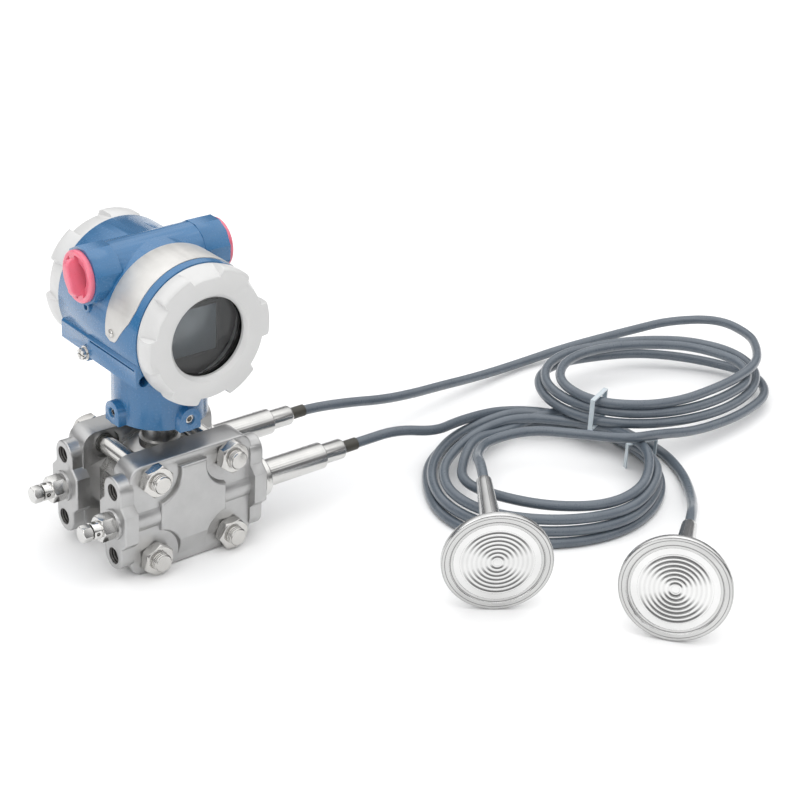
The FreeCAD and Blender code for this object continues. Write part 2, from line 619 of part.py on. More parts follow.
UP_C = (371.1, -37.7)
UP_OUT = [(-180, 92), (-160, 93), (-140, 92), (-120, 91), (-100, 78), (-80, 74), (-60, 81), (-40, 92), (-20, 103), (0, 107),
          (20, 97), (40, 85), (60, 76), (80, 67), (100, 64), (120, 69), (140, 80), (160, 88)]
UP_IN = [(-180, 67), (-160, 75), (-140, 67), (-120, 58), (-100, 54), (-80, 53), (-60, 54), (-40, 60), (-20, 61), (0, 50),
         (20, 39), (40, 33), (60, 30), (80, 30), (100, 31), (120, 35), (140, 43), (160, 54)]
LO_C = (231.7, -85.0)
LO_OUT = [(-180, 85), (-160, 86), (-140, 85), (-120, 82), (-100, 79), (-80, 77), (-60, 78), (-40, 80), (-20, 81), (0, 83),
          (20, 89), (40, 97), (60, 85), (80, 79), (100, 74), (120, 75), (140, 77), (160, 82)]
LO_IN = [(-180, 55), (-160, 57), (-140, 57), (-120, 57), (-100, 59), (-80, 62), (-60, 63), (-40, 63), (-20, 65), (0, 63),
         (20, 61), (40, 59), (60, 58), (80, 55), (100, 46), (120, 46), (140, 46), (160, 49)]


def plane_cut(s, a, b, c, keep_above):
    """Cut s by the plane z = a + b (x - 371.1) + c (y + 37.7)."""
    n = V(-b, -c, 1.0)
    n.normalize()
    p0 = V(371.1, -37.7, a)
    rot = FreeCAD.Rotation(Z, n)
    tool = Part.makeBox(900, 900, 300)
    off = V(-450, -450, -300) if keep_above else V(-450, -450, 0)
    tool.Placement = FreeCAD.Placement(p0 + rot.multVec(off), rot)
    return s.cut(tool)


up_face = coil_outline(UP_C, UP_OUT).cut(coil_outline(UP_C, UP_IN))
up_all = up_face.extrude(V(0, 0, 60))
upper = plane_cut(up_all, 11.3, -0.117, 0.0, True)
upper = plane_cut(upper, 33.2, -0.053, -0.024, False)
upper = upper.cut(box(200, 600, -200, 100, -20, 0.02))
lo_face = coil_outline(LO_C, LO_OUT).cut(coil_outline(LO_C, LO_IN))
lower = lo_face.extrude(V(0, 0, 19.5))
over = coil_outline(UP_C, [(t, r + 0.5) for t, r in UP_OUT]).cut(
    coil_outline(UP_C, [(t, r - 0.5) for t, r in UP_IN])).extrude(V(0, 0, 60))
over = plane_cut(over, 10.9, -0.117, 0.0, True)
lower = lower.cut(over)
def tie(centre, theta, r0, r1, z0, z1, w, t, open_bottom):
    """Flat strap round a coil: a frame in the radial plane at angle theta."""
    a = math.radians(theta)
    out = Part.makeBox(r1 - r0 + 2 * t, w, z1 - z0 + (t if open_bottom else 2 * t),
                       V(r0 - t, -w / 2.0, z0 if open_bottom else z0 - t))
    inn = Part.makeBox(r1 - r0, w + 2, z1 - z0 + (1 if open_bottom else 0), V(r0, -w / 2.0 - 1, z0 - (1 if open_bottom else 0)))
    s = out.cut(inn)
    s.Placement = FreeCAD.Placement(V(centre[0], centre[1], 0), FreeCAD.Rotation(Z, theta))
    return s


TIE_UP = (UP_C, -158.0, 74.3, 93.8, 19.1, 39.4, 3.0, 1.0, False)
TIE_LO = (LO_C, -13.5, 62.5, 83.5, 0.1, 16.6, 3.0, 0.8, True)


def tie_room(centre, theta, r0, r1, z0, z1, w, t, open_bottom):
    return tie(centre, theta, r0 + 0.3, r1 - 0.3, z0 + (0 if open_bottom else 0.3), z1 - 0.3, w + 0.6, t + 0.6, open_bottom)


lower = lower.cut(tie_room(*TIE_UP)).cut(tie_room(*TIE_LO))
lower = max(lower.Solids, key=lambda q: q.Volume)
save("coil_tie_upper", tie(*TIE_UP))
save("coil_tie_lower", tie(*TIE_LO))
save("capillary_rear_coil", upper)
save("capillary_front_coil", lower)
cord(REAR_LEAD, CORD_D, "capillary_rear_lead")
cord(REAR_TAIL, CORD_D, "capillary_rear_tail")
cord(FRONT_LEAD, CORD_D, "capillary_front_lead")
cord(FRONT_TAIL, CORD_D, "capillary_front_tail")
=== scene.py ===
import bpy
import bmesh
import math
from mathutils import Vector, Matrix


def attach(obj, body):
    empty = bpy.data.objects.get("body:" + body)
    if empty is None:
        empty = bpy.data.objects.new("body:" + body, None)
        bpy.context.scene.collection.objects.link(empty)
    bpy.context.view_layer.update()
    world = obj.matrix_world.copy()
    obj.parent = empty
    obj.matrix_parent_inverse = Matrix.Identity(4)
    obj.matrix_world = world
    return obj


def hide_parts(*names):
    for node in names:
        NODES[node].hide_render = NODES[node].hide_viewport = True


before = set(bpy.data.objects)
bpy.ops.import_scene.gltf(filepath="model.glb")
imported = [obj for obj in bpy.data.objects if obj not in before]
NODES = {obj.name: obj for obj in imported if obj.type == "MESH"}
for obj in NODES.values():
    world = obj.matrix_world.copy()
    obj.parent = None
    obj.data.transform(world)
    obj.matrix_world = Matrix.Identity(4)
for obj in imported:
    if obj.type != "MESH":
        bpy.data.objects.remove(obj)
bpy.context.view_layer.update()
MM = 0.001

ZP = 0.0356                  # process axis
ZH = ZP + 0.1128             # housing barrel axis
ZC = ZP + 0.1382             # cable entry axis
YC = 0.0095
PORT_Y = 0.027
CORD_D = 0.0064


# =====================================================================
# node helpers
# =====================================================================
class Mat:
    """A small wrapper to build node materials."""

    def __init__(self, name):
        self.m = bpy.data.materials.new(name)
        self.m.use_nodes = True
        self.t = self.m.node_tree
        self.n = self.t.nodes
        self.n.clear()
        self.out = self.n.new("ShaderNodeOutputMaterial")
        self.b = self.n.new("ShaderNodeBsdfPrincipled")
        self.link(self.b.outputs[0], self.out.inputs["Surface"])
        self._pos = None

    def link(self, a, b):
        self.t.links.new(a, b)

    def set(self, **kw):
        for k, v in kw.items():
            self.b.inputs[k.replace("_", " ")].default_value = v
        return self

    def pos(self):
        if self._pos is None:
            g = self.n.new("ShaderNodeNewGeometry")
            self._pos = g.outputs["Position"]
        return self._pos

    def obj(self):
        c = self.n.new("ShaderNodeTexCoord")
        return c.outputs["Object"]

    def mapping(self, vec, scale=(1, 1, 1), rot=(0, 0, 0), loc=(0, 0, 0)):
        mp = self.n.new("ShaderNodeMapping")
        mp.inputs["Scale"].default_value = scale
        mp.inputs["Rotation"].default_value = rot
        mp.inputs["Location"].default_value = loc
        self.link(vec, mp.inputs["Vector"])
        return mp.outputs[0]

    def noise(self, vec, scale, detail=2.0, rough=0.5, out="Fac"):
        x = self.n.new("ShaderNodeTexNoise")
        x.inputs["Scale"].default_value = scale
        x.inputs["Detail"].default_value = detail
        x.inputs["Roughness"].default_value = rough
        self.link(vec, x.inputs["Vector"])
        return x.outputs[out]

    def ramp(self, fac, stops):
        r = self.n.new("ShaderNodeValToRGB")
        e = r.color_ramp.elements
        while len(e) < len(stops):
            e.new(0.5)
        for k, (p, c) in zip(e, stops):
            k.position = p
            k.color = (c, c, c, 1) if isinstance(c, (int, float)) else (*c, 1)
        self.link(fac, r.inputs[0])
        return r.outputs[0]

    def maprange(self, v, a, b, c, d):
        m = self.n.new("ShaderNodeMapRange")
        m.inputs[1].default_value = a
        m.inputs[2].default_value = b
        m.inputs[3].default_value = c
        m.inputs[4].default_value = d
        self.link(v, m.inputs[0])
        return m.outputs[0]

    def math(self, op, a, b=None, clamp=False):
        m = self.n.new("ShaderNodeMath")
        m.operation = op
        m.use_clamp = clamp
        for i, v in enumerate((a, b)):
            if v is None:
                continue
            if isinstance(v, (int, float)):
                m.inputs[i].default_value = v
            else:
                self.link(v, m.inputs[i])
        return m.outputs[0]

    def mix(self, fac, a, b):
        m = self.n.new("ShaderNodeMix")
        m.data_type = "RGBA"
        if isinstance(fac, (int, float)):
            m.inputs[0].default_value = fac
        else:
            self.link(fac, m.inputs[0])
        for s, v in ((m.inputs[6], a), (m.inputs[7], b)):
            if isinstance(v, tuple):
                s.default_value = (*v, 1) if len(v) == 3 else v
            else:
                self.link(v, s)
        return m.outputs[2]

    def bump(self, h, strength, dist, prev=None):
        b = self.n.new("ShaderNodeBump")
        b.inputs["Strength"].default_value = strength
        b.inputs["Distance"].default_value = dist
        self.link(h, b.inputs["Height"])
        if prev is not None:
            self.link(prev, b.inputs["Normal"])
        return b.outputs[0]

    def normal(self, n):
        self.link(n, self.b.inputs["Normal"])

    def color(self, c):
        self.link(c, self.b.inputs["Base Color"])

    def rough(self, r):
        self.link(r, self.b.inputs["Roughness"])

    def xyz(self, vec):
        s = self.n.new("ShaderNodeSeparateXYZ")
        self.link(vec, s.inputs[0])
        return s.outputs


def steel(name, col, rough, spread=0.06, grain=0.35, cast=0.0, axis=None, streak=0.0):
    """Stainless steel: fine grain, faint cloudy tone, optional turning marks along an axis."""
    k = Mat(name)
    k.set(Metallic=1.0)
    p = k.pos()
    cloud = k.noise(p, 55.0, 4.0, 0.6)
    fine = k.noise(p, 900.0, 3.0, 0.6)
    tone = k.mix(k.maprange(cloud, 0.3, 0.7, 0.0, 1.0), tuple(c * 0.90 for c in col), tuple(min(1.0, c * 1.05) for c in col))
    k.color(tone)
    r = k.math("ADD", k.maprange(cloud, 0.3, 0.7, rough - spread, rough + spread), k.maprange(fine, 0.3, 0.7, -0.03, 0.03))
    k.rough(r)
    n = k.bump(fine, grain, 0.00006)
    if cast:
        n = k.bump(k.noise(p, 320.0, 4.0, 0.62), cast, 0.00035, n)
    if axis is not None:
        sc = [18.0, 18.0, 18.0]
        sc[axis] = 2600.0
        lines = k.noise(k.mapping(p, tuple(sc)), 1.0, 2.0, 0.5)
        n = k.bump(lines, streak, 0.00005, n)
    k.normal(n)
    return k.m


def steel_turned_radial(name, col, rough, centre, direction, step, streak=0.35, pitch=0.0, grooves=()):
    """Face turned about an axis: marks run round the centre; foil rings get painted reflection and face grooves get
    painted shade in the colour.
    """
    k = Mat(name)
    k.set(Metallic=1.0)
    p = k.pos()
    sub = k.n.new("ShaderNodeVectorMath")
    sub.operation = "SUBTRACT"
    k.link(p, sub.inputs[0])
    sub.inputs[1].default_value = centre
    dot = k.n.new("ShaderNodeVectorMath")
    dot.operation = "DOT_PRODUCT"
    k.link(sub.outputs[0], dot.inputs[0])
    dot.inputs[1].default_value = direction
    ln = k.n.new("ShaderNodeVectorMath")
    ln.operation = "LENGTH"
    k.link(sub.outputs[0], ln.inputs[0])
    r2 = k.math("SUBTRACT", k.math("POWER", ln.outputs["Value"], 2.0), k.math("POWER", dot.outputs["Value"], 2.0))
    rad = k.math("SQRT", k.math("MAXIMUM", r2, 0.0))
    comb = k.n.new("ShaderNodeCombineXYZ")
    k.link(rad, comb.inputs[0])
    k.link(dot.outputs["Value"], comb.inputs[1])
    lines = k.noise(comb.outputs[0], step, 3.0, 0.6)
    cloud = k.noise(p, 40.0, 3.0, 0.6)
    tone = k.mix(k.maprange(cloud, 0.3, 0.7, 0.0, 1.0), tuple(c * 0.93 for c in col), tuple(min(1.0, c * 1.04) for c in col))
    # Painted reflection: with a pitch, the foil's rings are darkened in the colour, most towards the top and bottom
    # of the disc; the ring bump further down is real relief.
    if pitch:
        ring = k.math("COSINE", k.math("MULTIPLY", k.math("SUBTRACT", rad, 1.2 * MM), 2.0 * math.pi / (pitch * MM)))
        dz = k.math("SUBTRACT", k.xyz(p)[2], centre[2])
        painted_reflection_arc = k.maprange(k.math("DIVIDE", k.math("ABSOLUTE", dz), k.math("MAXIMUM", rad, 0.0005)), 0.30, 0.72, 0.12, 1.0)
        near = k.math("MULTIPLY", k.math("GREATER_THAN", rad, 2.4 * MM), k.math("LESS_THAN", rad, 21.2 * MM))
        tone = k.mix(k.math("MULTIPLY", k.maprange(ring, -0.35, 0.45, 0.0, 0.92), k.math("MULTIPLY", near, painted_reflection_arc)), tone, tuple(c * 0.16 for c in col))
    # Painted shade: each listed face groove is darkened in the colour.
    for gr, gw in grooves:
        groove_painted_shade = k.math("LESS_THAN", k.math("ABSOLUTE", k.math("SUBTRACT", rad, gr * MM)), gw * MM)
        tone = k.mix(k.math("MULTIPLY", groove_painted_shade, 0.8), tone, tuple(c * 0.25 for c in col))
    k.color(tone)
    k.rough(k.math("ADD", k.maprange(cloud, 0.3, 0.7, rough - 0.03, rough + 0.03), k.maprange(lines, 0.3, 0.7, -0.02, 0.02)))
    n = k.bump(lines, streak, 0.00004)
    if pitch:
        n = k.bump(k.math("MULTIPLY", k.maprange(ring, -1.0, 1.0, 1.0, 0.0), near), 1.0, 0.0005, n)
    k.normal(n)
    return k.m


def powder(name, dark, light, rough, coat, peel=0.25):
    """Powder coat: faint orange peel, slight tone change."""
    k = Mat(name)
    p = k.pos()
    cloud = k.noise(p, 35.0, 3.0, 0.55)
    k.color(k.mix(k.maprange(cloud, 0.3, 0.7, 0.0, 1.0), dark, light))
    k.set(Coat_Weight=coat, Coat_Roughness=0.12, Specular_IOR_Level=0.5)
    pe = k.noise(p, 650.0, 3.0, 0.5)
    k.rough(k.maprange(pe, 0.3, 0.7, rough - 0.05, rough + 0.06))
    if peel:
        k.normal(k.bump(pe, peel, 0.00008))
    return k.m


def plastic(name, dark, light, rough, coat=0.0, grain=0.15, gscale=1500.0, sub=0.0, subcol=None):
    k = Mat(name)
    p = k.pos()
    cloud = k.noise(p, 60.0, 3.0, 0.55)
    k.color(k.mix(k.maprange(cloud, 0.3, 0.7, 0.0, 1.0), dark, light))
    g = k.noise(p, gscale, 2.0, 0.5)
    k.rough(k.maprange(g, 0.3, 0.7, rough - 0.04, rough + 0.05))
    k.normal(k.bump(g, grain, 0.00005))
    k.set(Coat_Weight=coat, Coat_Roughness=0.15)
    if sub:
        k.set(Subsurface_Weight=sub, Subsurface_Scale=0.004, Subsurface_Radius=subcol or (1.0, 0.35, 0.3))
    return k.m


M_MODULE = steel("satin_steel_module", (0.48, 0.475, 0.465), 0.30, grain=0.03)
M_CAST = steel("cast_steel", (0.60, 0.595, 0.58), 0.34, spread=0.04, grain=0.12, cast=0.05)
M_TURN = steel("turned_steel_x", (0.66, 0.655, 0.64), 0.21, spread=0.03, grain=0.05, axis=0, streak=0.12)
M_BOLT = steel("bolt_steel", (0.63, 0.62, 0.60), 0.22, spread=0.04, grain=0.06)


def threaded_bolt_steel():
    """Bolt steel with the thread that shows on the bolt ends in front of the nuts."""
    m = steel("bolt_thread_steel", (0.60, 0.59, 0.57), 0.22, spread=0.04, grain=0.06)
    t, n = m.node_tree, m.node_tree.nodes
    k = Mat.__new__(Mat)
    k.m, k.t, k.n, k._pos = m, t, n, None
    k.b = n["Principled BSDF"]
    y = k.xyz(k.pos())[1]
    wave = k.math("SINE", k.math("MULTIPLY", y, 2.0 * math.pi / 0.00127))
    end = k.math("LESS_THAN", y, -0.0403)
    h = k.math("MULTIPLY", k.maprange(wave, -1.0, 1.0, 0.0, 1.0), end)
    old = k.b.inputs["Normal"].links[0].from_socket
    k.normal(k.bump(h, 0.9, 0.00045, old))
    return m


M_BOLTS = threaded_bolt_steel()


def flange_steel():
    """Cast flange: the tapped holes get painted shade inside, with bumped thread lines."""
    m = steel("flange_cast_steel", (0.50, 0.50, 0.498), 0.40, spread=0.05, grain=0.10, cast=0.05)
    k = Mat.__new__(Mat)
    k.m, k.t, k.n, k._pos = m, m.node_tree, m.node_tree.nodes, None
    k.b = k.n["Principled BSDF"]
    x, y, z = k.xyz(k.pos())[:3]
    dy = k.math("SUBTRACT", k.math("ABSOLUTE", y), PORT_Y)
    dz = k.math("SUBTRACT", k.math("ABSOLUTE", k.math("SUBTRACT", z, ZP)), 0.02065)
    r2 = k.math("ADD", k.math("MULTIPLY", dy, dy), k.math("MULTIPLY", dz, dz))
    inside = k.math("LESS_THAN", r2, 0.0053 ** 2)
    deep = k.math("LESS_THAN", k.math("ABSOLUTE", x), 0.0486)
    bore_shade_and_thread_mask = k.math("MULTIPLY", inside, deep)
    # Painted shade: inside the tapped bores the colour is darkened to (0.16, 0.155, 0.15); the same bore mask also
    # drives the real thread bump.
    col = k.b.inputs["Base Color"].links[0].from_socket
    k.color(k.mix(bore_shade_and_thread_mask, col, (0.16, 0.155, 0.15)))
    wave = k.math("SINE", k.math("MULTIPLY", x, 2.0 * math.pi / 0.0017))
    old = k.b.inputs["Normal"].links[0].from_socket
    k.normal(k.bump(k.math("MULTIPLY", k.maprange(wave, -1.0, 1.0, 0.0, 1.0), bore_shade_and_thread_mask), 1.0, 0.0006, old))
    return m


M_FLANGE = flange_steel()
M_BLUE = powder("blue_powder_coat", (0.027, 0.138, 0.305), (0.032, 0.152, 0.330), 0.24, 0.45, 0.0)
M_WHITE = powder("white_powder_coat", (0.60, 0.60, 0.595), (0.635, 0.635, 0.63), 0.38, 0.25, 0.05)
M_PLATE = steel("plate_satin", (0.64, 0.63, 0.61), 0.48, grain=0.08, axis=0, streak=0.1)
M_PLATE.node_tree.nodes["Principled BSDF"].inputs["Metallic"].default_value = 0.55
M_PINK = plastic("pink_plastic", (0.74, 0.155, 0.225), (0.79, 0.185, 0.262), 0.30, 0.3, sub=0.25, subcol=(1.0, 0.28, 0.28))
M_CORD = plastic("grey_jacket", (0.090, 0.112, 0.138), (0.115, 0.139, 0.166), 0.30, 0.35, grain=0.06, gscale=900.0)
M_SLEEVE = plastic("dark_sleeve", (0.040, 0.038, 0.030), (0.058, 0.055, 0.045), 0.50)
M_BLACK = plastic("black_moulding", (0.012, 0.012, 0.013), (0.02, 0.02, 0.022), 0.5, grain=0.02, gscale=900.0)
M_RUBBER = plastic("black_rubber", (0.010, 0.010, 0.011), (0.018, 0.018, 0.018), 0.6, grain=0.2)
M_PTFE = plastic("white_polymer", (0.78, 0.78, 0.76), (0.84, 0.84, 0.82), 0.45)
M_BOARD = plastic("green_board", (0.010, 0.085, 0.035), (0.014, 0.11, 0.05), 0.4, 0.3)
M_BRASS = plastic("plated_brass", (0.60, 0.45, 0.22), (0.68, 0.52, 0.27), 0.28)
M_BRASS.node_tree.nodes["Principled BSDF"].inputs["Metallic"].default_value = 1.0
M_TIE = plastic("strap_nylon", (0.46, 0.52, 0.56), (0.56, 0.62, 0.66), 0.35, 0.1, sub=0.2, subcol=(0.6, 0.8, 1.0))
M_LCD = plastic("lcd_face", (0.135, 0.158, 0.180), (0.150, 0.174, 0.198), 0.22, 0.6, grain=0.02)


def glass_material():
    k = Mat("window_glass_clear")
    k.set(Base_Color=(0.93, 0.96, 0.97, 1), Transmission_Weight=1.0, IOR=1.38, Roughness=0.015)
    p = k.pos()
    k.rough(k.maprange(k.noise(p, 60.0, 2.0, 0.5), 0.3, 0.7, 0.0, 0.02))
    return k.m


M_GLASS = glass_material()
M_SEAL_H = steel_turned_radial("seal_steel_high", (0.60, 0.60, 0.595), 0.22, (0.1075, -0.1787, 0.03205),
                               (-0.589965, -0.806068, -0.047106), 1500.0, 0.08, 0.0, ((26.6, 0.28), (29.7, 0.22), (31.3, 0.12)))
M_SEAL_L = steel_turned_radial("seal_steel_low", (0.60, 0.60, 0.595), 0.22, (0.1697, -0.2564, 0.03235),
                               (-0.788331, -0.609296, 0.085417), 1500.0, 0.08, 0.0, ((26.6, 0.28), (29.7, 0.22), (31.3, 0.12)))
M_DIA_H = steel_turned_radial("foil_high", (0.76, 0.76, 0.755), 0.12, (0.1075, -0.1787, 0.03205),
                              (-0.589965, -0.806068, -0.047106), 2200.0, 0.04, 2.65)
M_DIA_L = steel_turned_radial("foil_low", (0.76, 0.76, 0.755), 0.12, (0.1697, -0.2564, 0.03235),
                              (-0.788331, -0.609296, 0.085417), 2200.0, 0.04, 2.65)

ASSIGN = {
    "sensor_module": M_MODULE, "isolating_diaphragm_front": M_MODULE, "isolating_diaphragm_rear": M_MODULE,
    "sensor_cell": M_TURN, "sensor_cable": M_PTFE, "neck_seal_ring": M_RUBBER,
    "process_flange_front": M_FLANGE, "process_flange_rear": M_FLANGE,
    "flange_seal_front": M_PTFE, "flange_seal_rear": M_PTFE,
    "flange_bolts": M_BOLTS, "flange_nuts": M_BOLT,
    "vent_valve_body_front": M_TURN, "vent_valve_body_rear": M_TURN,
    "vent_ball_front": M_TURN, "vent_ball_rear": M_TURN, "vent_stem_front": M_TURN, "vent_stem_rear": M_TURN,
    "capillary_adaptor_front": M_TURN, "capillary_adaptor_rear": M_TURN,
    "capillary_sleeve_front": M_SLEEVE, "capillary_sleeve_rear": M_SLEEVE,
    "electronics_housing": M_BLUE, "swivel_lock_screws": M_BOLT, "earth_screw": M_BOLT, "earth_washer": M_BOLT,
    "nameplate": M_PLATE, "nameplate_screws": M_BOLT, "front_cover": M_WHITE, "rear_cover": M_WHITE,
    "glass_gasket": M_RUBBER, "window_glass": M_GLASS, "glass_retaining_ring": M_BLACK,
    "front_cover_seal": M_RUBBER, "rear_cover_seal": M_RUBBER, "display_bezel": M_BLACK, "lcd_glass": M_LCD,
    "display_board": M_BOARD, "electronics_module": M_BLACK, "board_standoffs": M_BRASS,
    "terminal_block": M_BLACK, "terminal_screws": M_BRASS, "entry_plug_left": M_PINK, "entry_plug_right": M_PINK,
    "remote_seal_body_high": M_SEAL_H, "remote_seal_body_low": M_SEAL_L,
    "remote_seal_diaphragm_high": M_DIA_H, "remote_seal_diaphragm_low": M_DIA_L,
    "capillary_rear_lead": M_CORD, "capillary_rear_coil": M_CORD, "capillary_rear_tail": M_CORD,
    "capillary_front_lead": M_CORD, "capillary_front_coil": M_CORD, "capillary_front_tail": M_CORD,
    "coil_tie_upper": M_TIE, "coil_tie_lower": M_TIE,
}
for name, ob in NODES.items():
    ob.data.materials.clear()
    ob.data.materials.append(ASSIGN[name])

# softened edges on the carried-over pieces: width in mm
SOFT = {
    "process_flange_front": 0.7, "process_flange_rear": 0.7, "sensor_module": 0.0,
    "electronics_housing": 0.55, "front_cover": 0.55, "rear_cover": 0.55,
    "entry_plug_left": 0.35, "entry_plug_right": 0.35, "flange_bolts": 0.2, "flange_nuts": 0.2,
    "vent_valve_body_front": 0.2, "vent_valve_body_rear": 0.2, "vent_stem_front": 0.25, "vent_stem_rear": 0.25,
    "capillary_adaptor_front": 0.3, "capillary_adaptor_rear": 0.3, "remote_seal_body_high": 0.25,
    "remote_seal_body_low": 0.25, "nameplate": 0.1, "nameplate_screws": 0.15, "earth_screw": 0.2, "earth_washer": 0.1,
    "swivel_lock_screws": 0.12, "display_bezel": 0.3, "lcd_glass": 0.15,
}


def soften(ob, width_mm, angle=30.0, segments=2):
    for p in ob.data.polygons:
        p.use_smooth = True
    w = ob.modifiers.new("weld", "WELD")
    w.merge_threshold = 2e-6
    if width_mm:
        d = ob.modifiers.new("planar", "DECIMATE")
        d.decimate_type = "DISSOLVE"
        d.angle_limit = math.radians(0.6)
        b = ob.modifiers.new("edge", "BEVEL")
        b.width = width_mm * MM
        b.segments = segments
        b.limit_method = "ANGLE"
        b.angle_limit = math.radians(angle)
        b.harden_normals = True
        b.use_clamp_overlap = True
    else:
        e = ob.modifiers.new("sharp", "EDGE_SPLIT")
        e.split_angle = math.radians(angle)
        e.use_edge_sharp = False


for name, ob in NODES.items():
    soften(ob, SOFT.get(name, 0.0))


# =====================================================================
# capillaries
# =====================================================================
REAR_ROUTE = [
    (0.1140, 0.0270, 0.0356), (0.1294, 0.0270, 0.0356), (0.1599, 0.0255, 0.0319), (0.1900, 0.0265, 0.0250),
    (0.2199, 0.0308, 0.0194), (0.2497, 0.0370, 0.0143), (0.2797, 0.0419, 0.0094), (0.3100, 0.0461, 0.0059),
    (0.3408, 0.0482, 0.0047), (0.3714, 0.0451, 0.0073), (0.4011, 0.0377, 0.0107), (0.4308, 0.0302, 0.0136),
    (0.4575, 0.0218, 0.0170), (0.4814, -0.0039, 0.0223), (0.4758, -0.0385, 0.0248), (0.4585, -0.0608, 0.0273),
    (0.4349, -0.0811, 0.0295), (0.4049, -0.0895, 0.0296), (0.3749, -0.0951, 0.0321), (0.3439, -0.0968, 0.0333),
    (0.3142, -0.0890, 0.0342), (0.2898, -0.0672, 0.0348), (0.2911, -0.0351, 0.0343), (0.3133, -0.0118, 0.0323),
    (0.3422, -0.0016, 0.0301), (0.3735, -0.0032, 0.0280), (0.4025, -0.0131, 0.0260), (0.4291, -0.0292, 0.0235),
    (0.4425, -0.0607, 0.0215), (0.4221, -0.0878, 0.0226), (0.3908, -0.0965, 0.0242), (0.3586, -0.1000, 0.0262),
    (0.3276, -0.0957, 0.0279), (0.2996, -0.0799, 0.0288), (0.2857, -0.0514, 0.0289), (0.2926, -0.0197, 0.0272),
    (0.3137, 0.0032, 0.0260), (0.3433, 0.0132, 0.0245), (0.3712, 0.0113, 0.0228), (0.3956, 0.0093, 0.0208),
    (0.4192, 0.0014, 0.0194), (0.4429, -0.0128, 0.0178), (0.4591, -0.0379, 0.0158), (0.4528, -0.0661, 0.0154),
    (0.4311, -0.0859, 0.0158), (0.4029, -0.0978, 0.0174), (0.3731, -0.1032, 0.0192), (0.3437, -0.1016, 0.0208),
    (0.3162, -0.0938, 0.0222), (0.2916, -0.0755, 0.0229), (0.2840, -0.0460, 0.0216), (0.2914, -0.0164, 0.0206),
    (0.3121, 0.0069, 0.0188), (0.3408, 0.0153, 0.0166), (0.3710, 0.0123, 0.0142), (0.4043, 0.0036, 0.0120),
    (0.4307, -0.0145, 0.0096), (0.4501, -0.0380, 0.0074), (0.4569, -0.0647, 0.0080), (0.4389, -0.0914, 0.0092),
    (0.4050, -0.1029, 0.0110), (0.3746, -0.1076, 0.0128), (0.3429, -0.1078, 0.0150), (0.3141, -0.1068, 0.0215),
    (0.2824, -0.1071, 0.0272), (0.2616, -0.0831, 0.0266), (0.2422, -0.0594, 0.0251), (0.2096, -0.0540, 0.0240),
    (0.1835, -0.0735, 0.0302), (0.1704, -0.0928, 0.0371), (0.1588, -0.1086, 0.0361),
]
FRONT_ROUTE = [
    (0.1140, -0.0270, 0.0356), (0.1295, -0.0270, 0.0356), (0.1601, -0.0245, 0.0338), (0.1900, -0.0270, 0.0248),
    (0.2191, -0.0153, 0.0184), (0.2470, -0.0078, 0.0125), (0.2680, -0.0040, 0.0075), (0.2890, -0.0095, 0.0042),
    (0.3050, -0.0255, 0.0032), (0.3110, -0.0500, 0.0032), (0.3125, -0.0820, 0.0032), (0.3058, -0.1142, 0.0033),
    (0.2862, -0.1385, 0.0032), (0.2593, -0.1546, 0.0033), (0.2286, -0.1607, 0.0033), (0.1978, -0.1549, 0.0032),
    (0.1708, -0.1390, 0.0033), (0.1522, -0.1138, 0.0032), (0.1491, -0.0818, 0.0033), (0.1628, -0.0538, 0.0032),
    (0.1827, -0.0295, 0.0041), (0.2108, -0.0158, 0.0046), (0.2421, -0.0144, 0.0039), (0.2726, -0.0210, 0.0065),
    (0.2966, -0.0418, 0.0032), (0.3064, -0.0714, 0.0081), (0.3050, -0.1027, 0.0072), (0.2910, -0.1310, 0.0094),
    (0.2658, -0.1494, 0.0095), (0.2363, -0.1607, 0.0099), (0.2053, -0.1559, 0.0097), (0.1780, -0.1404, 0.0097),
    (0.1573, -0.1172, 0.0095), (0.1512, -0.0855, 0.0097), (0.1629, -0.0564, 0.0098), (0.1840, -0.0335, 0.0097),
    (0.2118, -0.0184, 0.0102), (0.2416, -0.0130, 0.0100), (0.2746, -0.0142, 0.0102), (0.2944, -0.0388, 0.0100),
    (0.2993, -0.0700, 0.0107), (0.3023, -0.1008, 0.0129), (0.2904, -0.1301, 0.0157), (0.2648, -0.1488, 0.0159),
    (0.2354, -0.1590, 0.0158), (0.2042, -0.1526, 0.0160), (0.1780, -0.1364, 0.0161), (0.1581, -0.1113, 0.0160),
    (0.1570, -0.0797, 0.0154), (0.1747, -0.0526, 0.0145), (0.2005, -0.0365, 0.0137), (0.2305, -0.0250, 0.0131),
    (0.2606, -0.0285, 0.0158), (0.2864, -0.0490, 0.0142), (0.2993, -0.0762, 0.0171), (0.2986, -0.1092, 0.0192),
    (0.2791, -0.1327, 0.0200), (0.2524, -0.1509, 0.0204), (0.2207, -0.1535, 0.0205), (0.1923, -0.1358, 0.0204),
    (0.1742, -0.1098, 0.0203), (0.1685, -0.0781, 0.0178), (0.1910, -0.0541, 0.0160), (0.2156, -0.0362, 0.0164),
    (0.2467, -0.0308, 0.0093), (0.2766, -0.0298, 0.0127), (0.3050, -0.0437, 0.0157), (0.3213, -0.0691, 0.0041),
    (0.3250, -0.1007, 0.0032), (0.3135, -0.1297, 0.0034), (0.2944, -0.1541, 0.0070), (0.2730, -0.1753, 0.0138),
    (0.2524, -0.1925, 0.0234), (0.2383, -0.2034, 0.0249),
]



